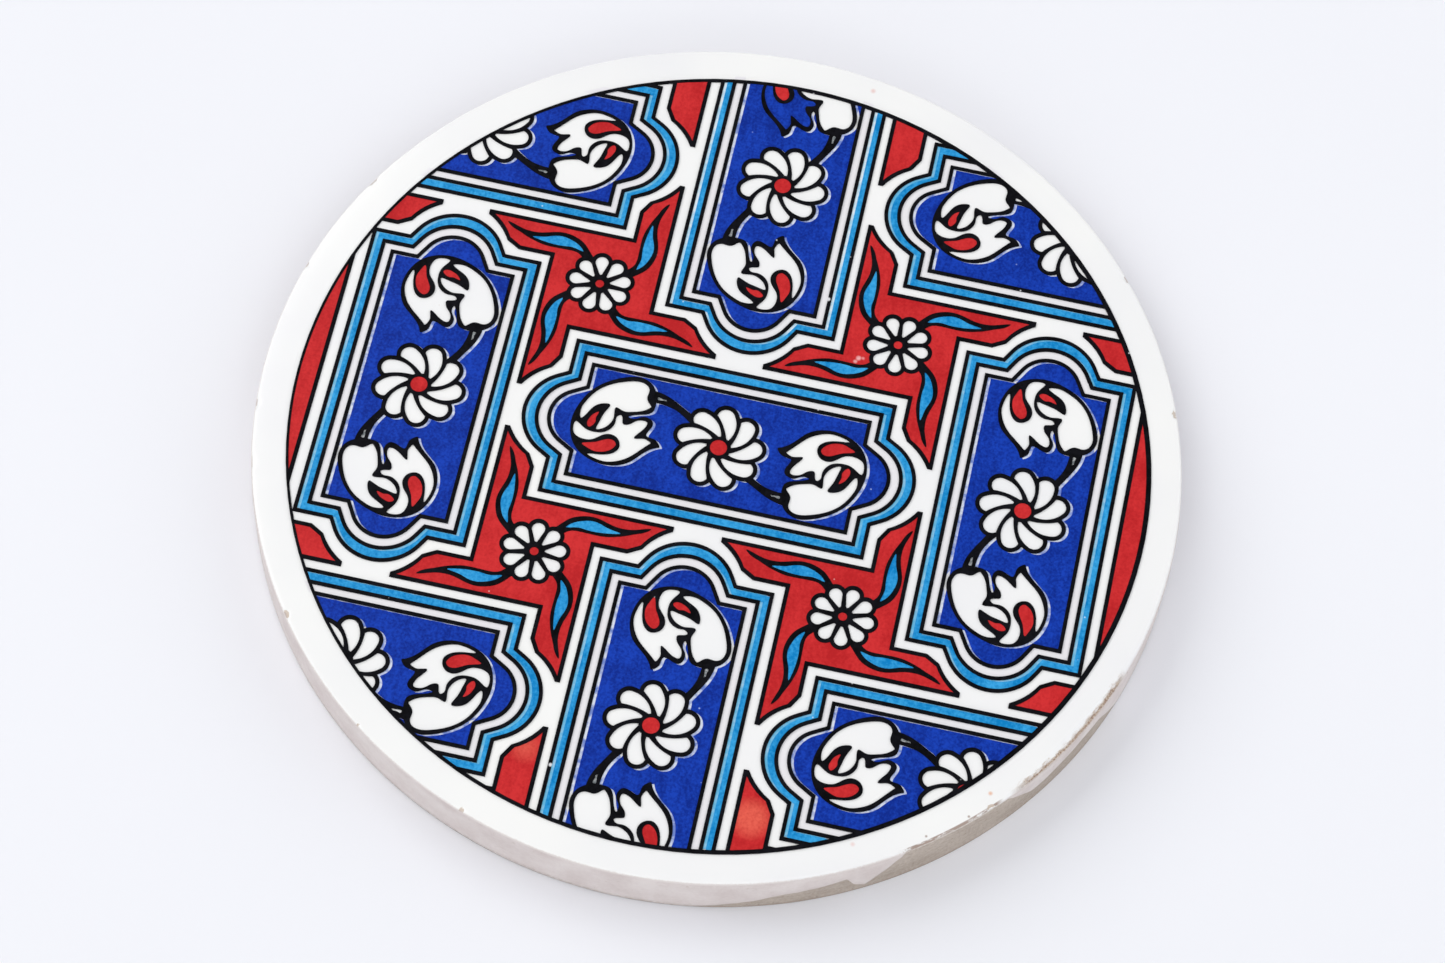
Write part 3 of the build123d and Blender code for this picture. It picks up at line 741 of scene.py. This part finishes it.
def makeFloor():
    # flat grid just under the foot
    cells = studio["floorCells"]
    wide = cells + 1
    steps = np.linspace(-studio["floorHalf"], studio["floorHalf"], wide)
    gx, gy = np.meshgrid(steps, steps, indexing="ij")
    verts = np.stack([gx, gy, np.full_like(gx, -studio["floorDrop"])], 2).reshape(-1, 3)
    i, j = np.meshgrid(np.arange(cells), np.arange(cells), indexing="ij")
    corner = i * wide + j
    quads = np.stack([corner, corner + wide, corner + wide + 1, corner + 1], 2).reshape(-1, 4)
    mesh = bpy.data.meshes.new("floor")
    mesh.from_pydata(verts.tolist(), [], quads.tolist())
    floor = bpy.data.objects.new("floor", mesh)
    bpy.context.scene.collection.objects.link(floor)
    f = Finish("pale floor")
    soft = f.noise(0.006, 2)
    base = studio["floorColour"]
    f.link("Base Color", f.mix(soft.above(0.3, 0.7), base, tuple(0.97 * c for c in base)))
    f.fixed(Roughness=0.9, Specular_IOR_Level=0.1)
    mesh.materials.append(f.material)


def makeWorld():
    # from the horizon's colour to the zenith's, straight in the height of the direction looked in
    world = bpy.data.worlds.new("studio")
    bpy.context.scene.world = world
    world.use_nodes = True
    tree = world.node_tree
    back = tree.nodes["Background"]
    where = tree.nodes.new("ShaderNodeTexCoord")
    split = tree.nodes.new("ShaderNodeSeparateXYZ")
    fade = tree.nodes.new("ShaderNodeMapRange")
    blend = tree.nodes.new("ShaderNodeMix")
    blend.data_type = "RGBA"
    fade.inputs["From Min"].default_value = studio["fadeFrom"]
    fade.inputs["From Max"].default_value = studio["fadeTo"]
    blend.inputs[6].default_value = (*studio["horizon"], 1)
    blend.inputs[7].default_value = (*studio["zenith"], 1)
    tree.links.new(where.outputs["Generated"], split.inputs[0])
    tree.links.new(split.outputs["Z"], fade.inputs["Value"])
    tree.links.new(fade.outputs[0], blend.inputs[0])
    tree.links.new(blend.outputs[2], back.inputs["Color"])
    back.inputs["Strength"].default_value = studio["worldStrength"]


def makeLights():
    # each lamp looks at the origin
    for i, (place, size, power, colour) in enumerate(studio["lights"]):
        light = bpy.data.lights.new(f"softLight{i + 1}", "AREA")
        light.size = size
        light.energy = power
        light.color = colour
        lamp = bpy.data.objects.new(light.name, light)
        bpy.context.scene.collection.objects.link(lamp)
        aim = (-Vector(place)).to_track_quat("-Z", "Y").to_matrix().to_4x4()
        lamp.matrix_world = Matrix.Translation(place) @ aim


def makeCamera():
    cameraData = bpy.data.cameras.new("camera")
    cameraData.lens = studio["lens"]
    cameraData.sensor_width = studio["sensor"]
    cameraData.sensor_fit = "HORIZONTAL"
    cameraData.clip_start = 0.01
    cameraData.clip_end = 20
    camera = bpy.data.objects.new("camera", cameraData)
    bpy.context.scene.collection.objects.link(camera)
    forward = Vector(studio["cameraForward"]).normalized()
    right = Vector(studio["cameraRight"])
    right = (right - forward * right.dot(forward)).normalized()
    up = right.cross(forward)
    turn = Matrix((right, up, -forward)).transposed().to_4x4()
    camera.matrix_world = Matrix.Translation(studio["cameraPlace"]) @ turn
    bpy.context.scene.camera = camera


makeFloor()
makeWorld()
makeLights()
makeCamera()
bpy.context.scene.view_settings.view_transform = "Standard"
